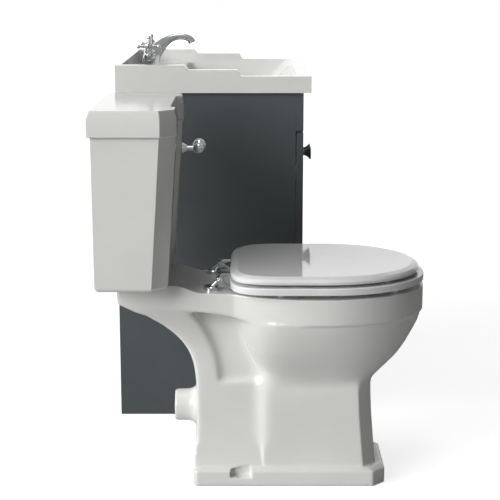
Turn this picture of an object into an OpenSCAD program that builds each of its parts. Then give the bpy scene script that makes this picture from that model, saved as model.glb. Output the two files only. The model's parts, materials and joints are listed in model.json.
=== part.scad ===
// Combined vanity and toilet unit: a close coupled toilet beside a cabinet that carries a ceramic basin.
// X runs along the wall, Y runs from the front back to the wall, Z runs up from the floor, in millimetres.
// Depths are distances out from the wall. The finished model is centred over its own footprint.

/* [Layout] */
// Distance from the middle of the pan to the near side of the cabinet
wc_to_cabinet = 371; // [330:1:600]

/* [Cabinet] */
// Width of the cabinet
cab_w = 590; // [540:1:900]
// Depth from the back of the cabinet to the face of its doors
cab_d = 446; // [430:1:520]
// Height of the cabinet
cab_h = 796; // [740:1:900]
// Gap between the cabinet and the wall
cab_gap = 2; // [0:0.5:10]
// Thickness of the cabinet boards
board_t = 18; // [15:1:22]
// Thickness of the doors
door_t = 16; // [14:1:20]
// Clearance between the closed doors and the boards behind them
door_gap = 2.6; // [2.4:0.1:5]
// Gap between neighbouring door edges
reveal = 3; // [2:0.5:5]
// Height of the fixed panel above the doors
fascia_h = 91.5; // [70:0.5:110]
// Height of the recessed board under the doors
kick_h = 100; // [60:1:150]
// Depth that the board under the doors is set back
kick_set = 30; // [10:1:60]
// Height of the back rails
rail_h = 90; // [60:1:120]
// Height of the shelf's underside above the floor
shelf_z = 360; // [250:1:420]
// Depth of the shelf
shelf_d = 290; // [200:1:380]
// Width of the frame around each door panel
stile_w = 62; // [45:1:80]
// Depth of the recessed door panel
panel_sink = 6; // [3:0.5:8]

/* [Knobs and door hinges] */
// Distance of each knob from the edge of its door
knob_in = 23.5; // [15:0.5:40]
// Distance of each knob below the top of its door
knob_down = 85.5; // [50:0.5:200]
// Length of a knob
knob_len = 31; // [20:1:45]
// Radius of the face of a knob
knob_r = 17.5; // [10:0.5:25]
// Radius of the neck of a knob
knob_neck_r = 6.5; // [4:0.5:9]
// Radius of a hinge cup
cup_r = 17.5; // [13:0.5:17.5]
// Depth of a hinge cup
cup_depth = 11.5; // [9:0.5:12]
// Distance from the door's hinged edge to the middle of a cup
cup_in = 22.5; // [20:0.5:26]
// Distance from a door's end to the middle of its nearest hinge cup
cup_end = 90; // [60:1:140]

/* [Basin] */
// Distance that the basin stands out past each side of the cabinet
basin_side_over = 10; // [4:1:20]
// Distance that the basin stands out past the doors
basin_front_over = 18; // [10:1:35]
// Gap between the basin and the wall
basin_gap = 3; // [1:0.5:10]
// Height of the front rim above the cabinet
rim_low = 39; // [36:1:45]
// Height of the side rims at their middle
rim_mid = 54; // [46:1:60]
// Height of the back and of the side rims beside it
rim_high = 65; // [61:1:80]
// Depth at which the side rims step down from high to middle
step_back = 172; // [150:1:200]
// Depth at which the side rims step down from middle to low
step_front = 296; // [270:1:330]
// Length of each step in the side rims
step_run = 11; // [6:1:20]
// Thickness of the side rims at their top
rim_side_t = 28; // [20:1:32]
// Thickness of the front rim at its top
rim_front_t = 34; // [24:1:40]
// Thickness of the back upstand
rim_back_t = 14; // [10:1:20]
// Height of the tap ledge above the cabinet
ledge_h = 30; // [24:1:34]
// Depth of the tap ledge
ledge_d = 150; // [135:1:160]
// Depth of the bowl below the top of the cabinet
bowl_drop = 91; // [70:1:110]
// Thickness of the basin's walls
basin_t = 12; // [9:1:14]

/* [Basin fittings] */
// Depth of the tap hole
tap_y = 66; // [62:1:80]
// Radius of the tap hole
tap_hole_r = 17.5; // [16.5:0.5:19]
// Radius of the tap's body
body_r = 23; // [21:0.5:24]
// Radius of the spout at its crown
spout_crown_r = 8.1; // [7:0.1:10]
// Height of the spout's crown above the tap ledge
spout_rise = 85; // [82:0.5:110]
// Reach of the spout from the middle of the tap to its mouth
spout_reach = 107.5; // [98:0.5:125]
// Height above the tap ledge at which the valves' axes cross
valve_rise = 19.6; // [18:0.1:22]
// Slope of the valves above the horizontal, in degrees
valve_slope = 35.5; // [33:0.5:40]
// Distance of the handles' arms from the crossing of the valves' axes
handle_out = 76; // [74:0.5:85]
// Length of a handle's arm
handle_arm = 25.5; // [20:0.5:28]
// Distance of each tail from the middle of the tap
tail_out = 60; // [50:1:100]
// Radius of the basin's waste hole
waste_hole_r = 23; // [20:0.5:25]
// Radius of the waste's flange
waste_flange_r = 32; // [28:0.5:36]
// Radius of the waste's threaded body
waste_body_r = 20.5; // [17:0.5:22]
// Travel of the pop up plug
plug_travel = 8; // [5:1:10]
// Radius of the trap's outlet pipe
trap_pipe_r = 16; // [14:0.5:20]
// Height of the trap's outlet pipe above the floor
trap_pipe_z = 575; // [500:1:590]

/* [Cistern] */
// Half of the width of the tank at its top
tank_top_w = 190; // [175:1:200]
// Half of the width of the tank at its bottom
tank_low_w = 176; // [160:1:185]
// Gap between the tank and the wall
tank_gap = 7; // [3:1:15]
// Depth of the tank's front corners at its top
tank_top_d = 174; // [160:1:180]
// Depth of the tank's front corners at its bottom
tank_low_d = 153; // [150:1:165]
// Height of the tank's bottom above the floor
tank_z = 445; // [420:1:470]
// Height of the tank's top above the floor
tank_top_z = 762; // [700:1:800]
// Size of the 45 degree cut on the front corners
tank_cut = 31.5; // [20:0.5:36]
// Width of the pilaster at each side of the tank's front
pilaster_w = 50; // [35:1:60]
// Depth by which the tank's front is set back between the pilasters
front_sink = 11; // [6:0.5:14]
// Thickness of the tank's walls
tank_t = 9; // [7:0.5:11]
// Distance that the lid stands out past the tank's side
lid_side_over = 8; // [4:0.5:12]
// Distance that the lid stands out past the tank's front
lid_front_over = 2; // [2:0.5:8]
// Height of the lid's upright band
lid_band = 35; // [25:1:45]
// Height of the lid's bevel
lid_bevel_h = 17.4; // [8:0.2:25]
// Distance by which the bevel leans in
lid_bevel_in = 5; // [3:0.5:15]

/* [Flush works] */
// Sideways distance from the middle of the tank to the lever
lever_x = 135; // [120:1:140]
// Height of the lever above the floor
lever_z = 696; // [660:1:710]
// Radius of the lever's rose
rose_r = 13.5; // [11:0.5:16]
// Radius of the lever's hub
hub_r = 13; // [10:0.1:16]
// Radius of the round end of the lever
bulb_r = 16; // [9:0.5:16]
// Distance from the lever's hub to its round end
lever_len = 52; // [40:1:60]
// Radius of the lever's spindle
spindle_r = 5; // [4:0.5:6]
// Length of the crank inside the tank
crank_len = 95; // [85:1:100]
// Depth of the flush valve
flush_y = 97; // [95:1:100]
// Radius of the flush valve's tail
flush_tail_r = 28; // [24:0.5:29]
// Sideways distance from the middle of the tank to the fill valve
fill_x = 125; // [120:1:132]
// Depth of the fill valve
fill_y = 75; // [70:1:85]
// Radius of the fill valve's tail
fill_tail_r = 10.5; // [9:0.5:12]
// Radius of the float
float_r = 32; // [25:1:34]
// Travel of the float
float_travel = 55; // [40:1:56]

/* [Pan] */
// Distance from the wall to the front of the pan
pan_reach = 691.5; // [640:0.5:720]
// Half of the width of the pan at its widest
pan_w = 172; // [165:1:185]
// Depth of the widest part of the pan
pan_mid = 470; // [450:1:490]
// Height of the pan's rim above the floor
rim_z = 428; // [415:1:440]
// Height of the band around the rim
band_h = 55; // [45:1:65]
// Depth of the step under the band
band_step = 3; // [2:0.5:5]
// Half of the width of the deck behind the bowl
deck_w = 112; // [105:1:120]
// Half of the width of the shelf under the tank
shelf_w = 104; // [98:1:110]
// Distance from the wall to the back of the shelf under the tank
shelf_back = 45; // [40:1:48]
// Gap between the tank and the shelf that carries it
shelf_gap = 3; // [2:0.5:5]
// Half of the width of the leg that holds the waterway
leg_w = 72; // [66:1:78]
// Half of the width of the web between the leg and the bowl
web_w = 58; // [52:1:62]
// Half of the width of the pedestal
pedestal_w = 84; // [80:1:90]
// Half of the width of the plinth
plinth_w = 100.5; // [96:0.5:110]
// Height of the plinth's upright face
plinth_h = 33; // [25:1:40]
// Depth at which the plinth starts
plinth_back = 200; // [190:1:205]
// Depth at which the plinth ends
plinth_front = 611; // [600:1:630]
// Size of the cut on the plinth's front corners
plinth_cut = 27; // [15:1:32]
// Height of the waste outlet's middle above the floor
outlet_z = 151; // [145:1:160]
// Outer radius of the waste outlet
outlet_r = 35; // [33:0.5:38]
// Inner radius of the waste outlet
outlet_bore_r = 27; // [24:0.5:28]
// Depth at which the waste outlet ends
outlet_end = 154; // [140:1:165]
// Length of the waste outlet behind its flare
outlet_len = 36; // [30:1:40]
// Radius of the flare where the outlet leaves the leg
flare_r = 16; // [10:1:18]
// Depth of the floor screws
floor_screw_y = 299; // [290:1:310]
// Radius of the floor screw holes
floor_screw_r = 3.75; // [3:0.25:4.5]

/* [Seat] */
// Height of the seat's underside above the rim
seat_lift = 11; // [9:0.5:14]
// Thickness of the seat
seat_t = 15; // [12:0.5:18]
// Gap between the seat and its lid
lid_lift = 7; // [5:0.5:9]
// Thickness of the seat's lid
lid_t = 15; // [12:0.5:18]
// Distance that the lid stops short of the seat's front
lid_short = 10; // [0:1:15]
// Half of the width of the seat
seat_w = 180; // [175:1:188]
// Depth of the straight back edge of the seat
seat_back = 278; // [275:1:285]
// Width of the bevel around the top of the lid
lid_bevel = 16; // [8:1:20]
// Depth of the seat's hinge axis
hinge_y = 258; // [256:1:262]
// Height of the hinge axis above the rim
hinge_rise = 22; // [20:0.5:24]
// Sideways distance from the middle of the pan to each hinge
hinge_x = 76; // [70:1:82]
// Distance of each hinge base behind the hinge axis
hinge_base_in = 18; // [12:1:20]
// Radius of the hinge pins
hinge_pin_r = 3.5; // [2.5:0.1:4]
// Outer radius of the hinge eyes
eye_r = 7.3; // [6:0.1:8]

/* [Hidden] */
$fn = 64;
fine = 96;
ceramic = [0.93, 0.93, 0.91];
lacquer = [0.27, 0.29, 0.3];
chrome = [0.8, 0.81, 0.82];
brass = [0.76, 0.64, 0.36];
white_plastic = [0.95, 0.95, 0.95];
grey_plastic = [0.62, 0.65, 0.68];
rubber = [0.14, 0.14, 0.14];
steel = [0.66, 0.67, 0.68];

// Radial clearance of a pin in its hole
fit = 0.05;
// Clearance between pieces that must not rub
clear = 0.3;
// How far a cut runs past the face that it opens
over = 2;

// Places that several pieces share
cab_x = wc_to_cabinet;
cab_mid = cab_x + cab_w / 2;
cab_front = -(cab_gap + cab_d);
board_front = cab_front + door_t + door_gap;
door_back = cab_front + door_t;
in_x = cab_x + board_t;
in_w = cab_w - 2 * board_t;
door_top = cab_h - fascia_h - reveal;
door_low = kick_h + reveal;
door_w = (cab_w - reveal) / 2;
basin_x = cab_x - basin_side_over;
basin_w = cab_w + 2 * basin_side_over;
basin_front = cab_front - basin_front_over;
ledge_z = cab_h + ledge_h;
bowl_floor = cab_h - bowl_drop;
waste_y = -(ledge_d + 22 + 97);
tank_back = -tank_gap;
lid_w = tank_top_w + lid_side_over;
lid_d = tank_top_d + lid_front_over;
lid_z = tank_top_z;
shelf_top = tank_z - shelf_gap;
seat_z = rim_z + seat_lift;
lid_low = seat_z + seat_t + lid_lift;
hinge_z = rim_z + hinge_rise;
hinge_base_y = -hinge_y + hinge_base_in;
valve_z = ledge_z + valve_rise;
mid_x = (cab_x + cab_w + basin_side_over - lid_w) / 2;
mid_y = -pan_reach / 2;

function lerp(a, b, t) = a + (b - a) * t;
function sign_of(v) = v < 0 ? -1 : 1;

// A smooth curve through a list of points, with a number of steps between neighbours
function curve_at(p, i, t) =
    let (a = p[max(i - 1, 0)], b = p[i], c = p[i + 1], d = p[min(i + 2, len(p) - 1)])
    0.5 * (2 * b + (c - a) * t + (2 * a - 5 * b + 4 * c - d) * t * t + (3 * b - a - 3 * c + d) * t * t * t);
function curve(p, steps) = [
    for (i = [0 : len(p) - 2])
        for (s = [0 : steps - 1])
            curve_at(p, i, s / steps),
    p[len(p) - 1],
];

// An egg shaped ring at height z: back and front halves have their own reach and squareness
function egg(z, back, mid, front, w, back_n, front_n, count) = [
    for (i = [0 : count - 1])
        let (
            c = cos(360 * i / count),
            s = sin(360 * i / count),
            n = s < 0 ? front_n : back_n,
            reach = s < 0 ? front - mid : mid - back
        )
        [w * sign_of(c) * pow(abs(c), 2 / n), -mid + reach * sign_of(s) * pow(abs(s), 2 / n), z],
];
function flat(ring) = [for (p = ring) [p[0], p[1]]];

// A rectangle with round corners at height z
function round_box(x0, x1, y0, y1, r, z) = [
    for (corner = [[x1 - r, y1 - r, 0], [x0 + r, y1 - r, 90], [x0 + r, y0 + r, 180], [x1 - r, y0 + r, 270]])
        for (a = [0 : 15 : 90])
            [corner[0] + r * cos(corner[2] + a), corner[1] + r * sin(corner[2] + a), z],
];

// A solid through a stack of rings that run anticlockwise, lowest first
module loft(rings) {
    n = len(rings[0]);
    m = len(rings);
    polyhedron(
        points = [for (r = rings) for (p = r) p],
        faces = concat(
            [[for (i = [0 : n - 1]) i]],
            [[for (i = [n - 1 : -1 : 0]) i + n * (m - 1)]],
            [
                for (k = [0 : m - 2])
                    for (i = [0 : n - 1])
                        [k * n + i, (k + 1) * n + i, (k + 1) * n + (i + 1) % n],
            ],
            [
                for (k = [0 : m - 2])
                    for (i = [0 : n - 1])
                        [k * n + i, (k + 1) * n + (i + 1) % n, k * n + (i + 1) % n],
            ]
        ),
        convexity = 6
    );
}

// A round bar of changing radius along a path in the plane X = x, each point being [y, z, radius]
module bar_along(path, x, sides) {
    last = len(path) - 1;
    loft([
        for (k = [0 : last])
            let (
                a = path[max(k - 1, 0)],
                b = path[min(k + 1, last)],
                turn = atan2(b[1] - a[1], b[0] - a[0])
            )
            [
                for (i = [0 : sides - 1])
                    let (s = 360 * i / sides, out = path[k][2] * sin(s))
                    [x + path[k][2] * cos(s), path[k][0] + out * sin(turn), path[k][1] - out * cos(turn)],
            ],
    ]);
}

// Puts the origin under the middle of the footprint
module place() {
    translate([-mid_x, -mid_y, 0])
        children();
}

// A profile in depth and height, spread equally to both sides of X = 0
module side_profile(w) {
    rotate([90, 0, 90])
        linear_extrude(2 * w, center = true)
            children();
}

// A box from one corner to the opposite one
module box(low, high) {
    translate(low)
        cube(high - low);
}

module rod_y(x, z, y0, y1, r) {
    translate([x, y1, z])
        rotate([90, 0, 0])
            cylinder(y1 - y0, r, r);
}

module rod_x(y, z, x0, x1, r) {
    translate([x0, y, z])
        rotate([0, 90, 0])
            cylinder(x1 - x0, r, r);
}

module rod_z(x, y, z0, z1, r) {
    translate([x, y, z0])
        cylinder(z1 - z0, r, r);
}

// A straight round bar between two points
module rod(a, b, r) {
    d = b - a;
    translate(a)
        rotate([0, acos(d[2] / norm(d)), atan2(d[1], d[0])])
            cylinder(norm(d), r, r);
}

module hexagon_z(x, y, z0, z1, r) {
    translate([x, y, z0])
        linear_extrude(z1 - z0)
            circle(r, $fn = 6);
}

// Pan
band_low = rim_z - band_h;
inlet_floor = tank_z - 25;
outlet_root = 262;
leg_back = [
    [-shelf_back, 402], [-88, 378], [-127, 358], [-164, 327], [-186, 299], [-200, 265], [-205.5, 226],
    [-206.5, 200], [-206, 150], [-205, 100], [-204, 65], [-plinth_back, plinth_h],
];
leg_front = [
    [-196, 384], [-204, 372], [-220, 349], [-236, 318], [-247, 290], [-254, 260], [-256.5, 226],
];
leg_half_width = [
    [plinth_w - 14, plinth_h], [80, 60], [leg_w + 1, 110], [leg_w - 2, 170], [leg_w - 2, 240], [leg_w, 300],
    [leg_w + 8, 340], [90, 366], [shelf_w - 3, 388], [shelf_w, 402],
];

// The rim and the deck seen from above
module pan_outline(inset) {
    polygon(flat(egg(0, 215 + inset, pan_mid, pan_reach - inset, pan_w - inset, 2, 2, 96)));
    polygon(concat(
        [[-shelf_w + inset, -shelf_back], [-shelf_w + inset, -165], [-deck_w + inset, -225]],
        [[-deck_w - 10 + inset, -300], [deck_w + 10 - inset, -300]],
        [[deck_w - inset, -225], [shelf_w - inset, -165], [shelf_w - inset, -shelf_back]]
    ));
}

// The deck rises in a soft curve to the shelf under the tank
module deck_profile() {
    rise = [for (t = [0 : 0.1 : 1]) [-lerp(165, 222, t), lerp(shelf_top, rim_z, (1 - cos(180 * t)) / 2)]];
    polygon(concat(
        [[-shelf_back, shelf_top]],
        rise,
        [[-pan_reach - over, rim_z], [-pan_reach - over, band_low], [-300, band_low]],
        [[-262, band_low + 8], [-196, 387], [-150, 393], [-shelf_back, 402]]
    ));
}

module pan_deck() {
    intersection() {
        linear_extrude(shelf_top + over)
            pan_outline(0);
        side_profile(pan_w + over)
            deck_profile();
    }
}

// The leg carries the waterway from the bowl to the outlet
module pan_leg() {
    intersection() {
        side_profile(pan_w)
            polygon(concat(curve(leg_back, 3), [[-470, plinth_h], [-470, 380], [-150, 402]]));
        rotate([90, 0, 0])
            linear_extrude(pan_reach)
                polygon(concat(
                    curve(leg_half_width, 3),
                    [for (p = curve([for (i = [len(leg_half_width) - 1 : -1 : 0]) leg_half_width[i]], 3))
                        [-p[0], p[1]]]
                ));
    }
}

// Sunk field between the leg and the bowl
module leg_fields() {
    field = concat(curve(leg_front, 3), [[-400, 226], [-400, 384]]);
    for (side = [-1, 1])
        translate([side * (web_w + 50), 0, 0])
            side_profile(50)
                polygon(field);
}

module pan_plinth() {
    outline = [
        [plinth_w, -plinth_back - 7], [plinth_w - 7, -plinth_back], [-plinth_w + 7, -plinth_back],
        [-plinth_w, -plinth_back - 7], [-plinth_w, -plinth_front + plinth_cut],
        [-plinth_w + plinth_cut, -plinth_front], [plinth_w - plinth_cut, -plinth_front],
        [plinth_w, -plinth_front + plinth_cut],
    ];
    linear_extrude(plinth_h)
        polygon(outline);
    hull() {
        translate([0, 0, plinth_h - 1])
            linear_extrude(1)
                polygon(outline);
        translate([0, 0, plinth_h + 6])
            linear_extrude(0.1)
                polygon([for (p = outline) [p[0] * 0.88, lerp(p[1], -400, 0.05)]]);
    }
}

// Front block of the pedestal, with its corners cut at 45 degrees
module pan_pedestal() {
    function block(z, front, w) = [
        [w, -351, z], [w - 6, -344, z], [-w + 6, -344, z], [-w, -351, z],
        [-w, -front + 28, z], [-w + 28, -front, z], [w - 28, -front, z], [w, -front + 28, z],
    ];
    loft([
        block(plinth_h, 595, pedestal_w + 4),
        block(plinth_h + 8, 591, pedestal_w + 1),
        block(100, 586, pedestal_w),
        block(160, 581, pedestal_w),
        block(206, 579, pedestal_w),
        block(232, 580, pedestal_w - 3),
    ]);
}

// The outside of the bowl swells from the pedestal up to the band
module pan_body() {
    top = pan_w - band_step;
    loft([
        egg(200, 352, 462, 577, pedestal_w - 4, 6, 4.5, 72),
        egg(226, 348, 462, 583, pedestal_w + 1, 6, 3.8, 72),
        egg(240, 342, 463, 598, pedestal_w + 8, 5, 3.2, 72),
        egg(256, 335, 464, 615, pedestal_w + 20, 4.5, 2.8, 72),
        egg(279, 322, 466, 638, 122, 4.2, 2.5, 72),
        egg(305, 311, 468, 656, 140, 4, 2.35, 72),
        egg(330, 303, 469, 670, 153, 3.8, 2.2, 72),
        egg(352, 297, pan_mid, pan_reach - 9.5, top - 6, 3.6, 2.1, 72),
        egg(band_low + 2, 291, pan_mid, pan_reach - band_step, top, 3.5, 2, 72),
    ]);
}

module pan_bowl() {
    loft([
        egg(100, 432, 465, 498, 30, 2, 2, 48),
        egg(116, 412, 465, 514, 43, 2, 2, 48),
        egg(150, 396, 467, 533, 55, 2.2, 2.1, 48),
        egg(200, 380, 470, 556, 68, 2.4, 2.2, 48),
        egg(250, 364, 472, 586, 80, 2.4, 2.2, 48),
        egg(300, 350, 473, 612, 99, 2.4, 2.2, 48),
        egg(350, 338, 475, 636, 119, 2.4, 2.1, 48),
        egg(392, 331, 476, 648, 128, 2.4, 2.1, 48),
        egg(rim_z + over, 330, 476, 648, 129, 2.4, 2.1, 48),
    ]);
}

module pan_waterway() {
    low = [0, -440, 131];
    weir = [0, -352, 205];
    crest = [0, -303, 212];
    fall = [0, -outlet_root, outlet_z];
    rod(low, weir, 25);
    rod(weir, crest, 25);
    rod(crest, fall, 25);
    for (p = [weir, crest, fall])
        translate(p)
            sphere(26);
    rod_y(0, outlet_z, -outlet_root, -outlet_end + over, outlet_bore_r);
}

module floor_notch(side) {
    x = side * (plinth_w - 8.5);
    translate([x, 0, 0])
        side_profile(8.5 + over)
            polygon([
                [-floor_screw_y - 25, plinth_h - 14], [-floor_screw_y + 19, plinth_h - 14],
                [-floor_screw_y + 19, plinth_h + 3], [-floor_screw_y - 14, plinth_h + 8],
                [-floor_screw_y - 25, plinth_h + 8],
            ]);
    rod_z(x, -floor_screw_y, -over, plinth_h, floor_screw_r);
}

// Concave flare between the outlet and the back of the leg
module outlet_flare() {
    translate([0, -outlet_end - outlet_len, outlet_z])
        rotate([90, 0, 0])
            rotate_extrude()
                polygon(concat(
                    [[0, 0]],
                    [for (a = [0 : 15 : 90]) [outlet_r + flare_r * (1 - cos(a)), flare_r * sin(a)]],
                    [[outlet_r + flare_r, flare_r + 8], [0, flare_r + 8]]
                ));
}

module pan() {
    color(ceramic)
        place()
            difference() {
                union() {
                    pan_plinth();
                    difference() {
                        pan_leg();
                        leg_fields();
                    }
                    pan_deck();
                    pan_pedestal();
                    pan_body();
                    rod_y(0, outlet_z, -outlet_root, -outlet_end, outlet_r);
                    outlet_flare();
                }
                pan_bowl();
                pan_waterway();
                rod_z(0, -flush_y, inlet_floor, shelf_top + over, 46);
                rod_z(0, -flush_y, 398, shelf_top, 24);
                rod([0, -flush_y, 407], [0, -345, 401], 17);
                for (side = [-1, 1]) {
                    rod_z(side * 75, -flush_y, 300, shelf_top + over, 5);
                    rod_z(side * 75, -flush_y, 300, 400, 17);
                    rod_z(side * hinge_x, hinge_base_y, rim_z - 42, rim_z + over, 8);
                    floor_notch(side);
                }
                box([-66, -545, -over], [66, -228, 84]);
            }
}

// Cistern
function tank_share(z) = (z - tank_z) / (tank_top_z - tank_z);
function tank_half(z) = lerp(tank_low_w, tank_top_w, tank_share(z));
function tank_depth(z) = lerp(tank_low_d, tank_top_d, tank_share(z));

// Outline of the tank or its lid, with its front corners cut, drawn in by a distance at height z
function cistern_ring(z, w, back, d, in) = [
    [-w + in, -back - in, z], [-w + in, -d + tank_cut + 0.41 * in, z],
    [-w + tank_cut + 0.41 * in, -d + in, z], [w - tank_cut - 0.41 * in, -d + in, z],
    [w - in, -d + tank_cut + 0.41 * in, z], [w - in, -back - in, z],
];

// Outline of the sunk field between the pilasters
function field_ring(z, w, d, in) =
    let (half = w - tank_cut - pilaster_w)
    [
        [-half + front_sink - in, -d + front_sink + in, z], [-half - 1 - in, -d - 1, z],
        [half + 1 + in, -d - 1, z], [half - front_sink + in, -d + front_sink + in, z],
    ];

// Outline at a distance t inside the tank's outer faces, straight across its front
function tank_inner(z, t) =
    let (
        w = tank_half(z) - t,
        front = tank_depth(z) - front_sink - t,
        side = max(tank_cut - 0.41 * t - tank_depth(z), 0.5 - front),
        corner = w - side - front
    )
    [
        [-w, tank_back - t, z], [-w, side, z], [-corner, -front, z],
        [corner, -front, z], [w, side, z], [w, tank_back - t, z],
    ];

module cistern() {
    color(ceramic)
        place()
            difference() {
                loft([
                    cistern_ring(tank_z, tank_low_w, tank_gap, tank_low_d, 8),
                    cistern_ring(tank_z + 2.5, tank_low_w, tank_gap, tank_low_d, 3.5),
                    cistern_ring(tank_z + 9, tank_half(tank_z + 9), tank_gap, tank_depth(tank_z + 9), 0),
                    cistern_ring(tank_top_z, tank_top_w, tank_gap, tank_top_d, 0),
                ]);
                loft([
                    field_ring(tank_z - over, tank_half(tank_z - over), tank_depth(tank_z - over), 0),
                    field_ring(
                        tank_top_z + over, tank_half(tank_top_z + over), tank_depth(tank_top_z + over), 0
                    ),
                ]);
                loft([tank_inner(tank_z + tank_t, tank_t), tank_inner(tank_top_z + over, tank_t)]);
                rod_z(0, -flush_y, tank_z - over, tank_z + 30, flush_tail_r + clear);
                rod_z(fill_x, -fill_y, tank_z - over, tank_z + 30, fill_shank_r + clear);
                for (side = [-1, 1]) {
                    rod_z(side * 75, -flush_y, tank_z - over, tank_z + 30, 5);
                    rod_y(side * 100, tank_top_z - 60, -60, over, 3.5);
                }
                rod_y(lever_x, lever_z, -220, -120, spindle_r + 4);
            }
}

module cistern_lid() {
    skirt = tank_t + 4;
    rim = tank_t + 12;
    color(ceramic)
        place()
            difference() {
                union() {
                    loft([
                        cistern_ring(lid_z, lid_w, 0, lid_d, 0),
                        cistern_ring(lid_z + lid_band, lid_w, 0, lid_d, 0),
                        cistern_ring(lid_z + lid_band + lid_bevel_h, lid_w, 0, lid_d, lid_bevel_in),
                    ]);
                    translate([0, 0, lid_z - 6])
                        linear_extrude(7)
                            polygon(flat(tank_inner(lid_z, skirt)));
                }
                loft([
                    field_ring(lid_z - over, lid_w, lid_d, 0),
                    field_ring(lid_z + lid_band, lid_w, lid_d, 0),
                    field_ring(lid_z + lid_band + lid_bevel_h + over, lid_w, lid_d, lid_bevel_in),
                ]);
                box(
                    [-tank_top_w + rim, -tank_top_d + front_sink + rim, lid_z - 7],
                    [tank_top_w - rim, tank_back - rim, lid_z + lid_band + 5]
                );
            }
}

module coupling_gasket() {
    color(rubber)
        place()
            difference() {
                rod_z(0, -flush_y, inlet_floor, tank_z, 44);
                rod_z(0, -flush_y, inlet_floor - over, tank_z + over, 36);
            }
}

module coupling_bolts() {
    color(brass)
        place()
            for (side = [-1, 1]) {
                rod_z(side * 75, -flush_y, 378, tank_z + tank_t + 1, 4);
                rod_z(side * 75, -flush_y, tank_z + tank_t, tank_z + tank_t + 4, 12);
            }
}

// Wing nuts under the shelf
module coupling_nuts() {
    color(brass)
        place()
            for (side = [-1, 1])
                difference() {
                    union() {
                        rod_z(side * 75, -flush_y, 396, 400, 14);
                        rod_z(side * 75, -flush_y, 382, 396.5, 8);
                        box([side * 75 - 15, -flush_y - 2, 382], [side * 75 + 15, -flush_y + 2, 392]);
                    }
                    rod_z(side * 75, -flush_y, 370, 402, 4 + fit);
                }
}

// Flush valve: a tail through the tank's floor, four posts and a guide ring for the plunger
valve_floor = tank_z + tank_t;
guide_z = valve_floor + 98;
module flush_valve_body() {
    color(white_plastic)
        place()
            translate([0, -flush_y, 0])
                difference() {
                    union() {
                        rod_z(0, 0, tank_z - 20, valve_floor + 1, flush_tail_r);
                        rod_z(0, 0, valve_floor, valve_floor + 8, flush_tail_r + 4);
                        for (a = [45 : 90 : 315])
                            rotate([0, 0, a])
                                translate([flush_tail_r, 0, valve_floor + 7])
                                    cylinder(guide_z - valve_floor - 6, 2.5, 2.5);
                        rod_z(0, 0, guide_z, guide_z + 10, flush_tail_r + 3);
                    }
                    rod_z(0, 0, tank_z - 21, valve_floor + 9, flush_tail_r - 5);
                    rod_z(0, 0, guide_z - 1, guide_z + 11, plunger_r + fit);
                }
}

module flush_valve_nut() {
    color(white_plastic)
        place()
            difference() {
                hexagon_z(0, -flush_y, tank_z - 12, tank_z, 34);
                rod_z(0, -flush_y, tank_z - 13, tank_z + 1, flush_tail_r + fit);
            }
}

seal_z = valve_floor + 8;
plunger_top = seal_z + 180;
plunger_r = 12;
module flush_plunger() {
    color(grey_plastic)
        place()
            translate([0, -flush_y, 0])
                difference() {
                    union() {
                        rod_z(0, 0, seal_z + 3, seal_z + 8, 24);
                        rod_z(0, 0, seal_z + 3, plunger_top, plunger_r);
                    }
                    rod_z(0, 0, seal_z - 1, plunger_top + 1, 9.5);
                }
}

module flush_seal() {
    color(rubber)
        place()
            difference() {
                rod_z(0, -flush_y, seal_z, seal_z + 3, 25.5);
                rod_z(0, -flush_y, seal_z - 1, seal_z + 4, 9.5);
            }
}

// Strap from the plunger up to the crank, with a slot that the crank's pin slides in
strap_y = -flush_y - plunger_r + 0.3;
crank_y = strap_y - 6;
pin_x = lever_x - crank_len;
module lift_link() {
    color(brass)
        place()
            difference() {
                union() {
                    box([-6, strap_y - 2, plunger_top - 40], [6, strap_y, lever_z + 8]);
                    box([-6, strap_y - 2, lever_z - 8], [pin_x + 18, strap_y, lever_z + 8]);
                }
                box([pin_x - 4, strap_y - 3, lever_z - 4], [pin_x + 13, strap_y + 1, lever_z + 4]);
                rod_z(0, -flush_y, plunger_top - 41, plunger_top + 1, plunger_r);
            }
}

// Column with a tail through the tank's floor and a stop for the float
float_rest = tank_z + 115;
float_h = 62;
fill_head_z = float_rest + float_h + float_travel + 4;
fill_shank_r = fill_tail_r + 0.7;
module fill_valve() {
    color(white_plastic)
        place()
            translate([fill_x, -fill_y, 0]) {
                difference() {
                    union() {
                        rod_z(0, 0, tank_z - 42, tank_z + tank_t + 1, fill_tail_r);
                        rod_z(0, 0, tank_z - 12, tank_z + tank_t + 1, fill_shank_r);
                        rod_z(0, 0, tank_z + tank_t, tank_z + tank_t + 7, 17);
                        rod_z(0, 0, tank_z + tank_t + 6, fill_head_z + 9, 13);
                        rod_z(0, 0, float_rest - 12, float_rest, 20);
                        rod_z(0, 0, fill_head_z, fill_head_z + 26, 24);
                    }
                    rod_z(0, 0, tank_z - 43, tank_z + 100, 6);
                }
                rod([0, 0, fill_head_z + 14], [-34, 0, fill_head_z + 14], 4);
            }
}

module fill_valve_nut() {
    color(white_plastic)
        place()
            difference() {
                hexagon_z(fill_x, -fill_y, tank_z - 9, tank_z, 17);
                rod_z(fill_x, -fill_y, tank_z - 10, tank_z + 1, fill_shank_r + fit);
            }
}

module float_cup() {
    color(grey_plastic)
        place()
            translate([fill_x, -fill_y, 0])
                difference() {
                    rod_z(0, 0, float_rest, float_rest + float_h, float_r);
                    rod_z(0, 0, float_rest - 1, float_rest + float_h + 1, 13 + fit);
                }
}

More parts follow.
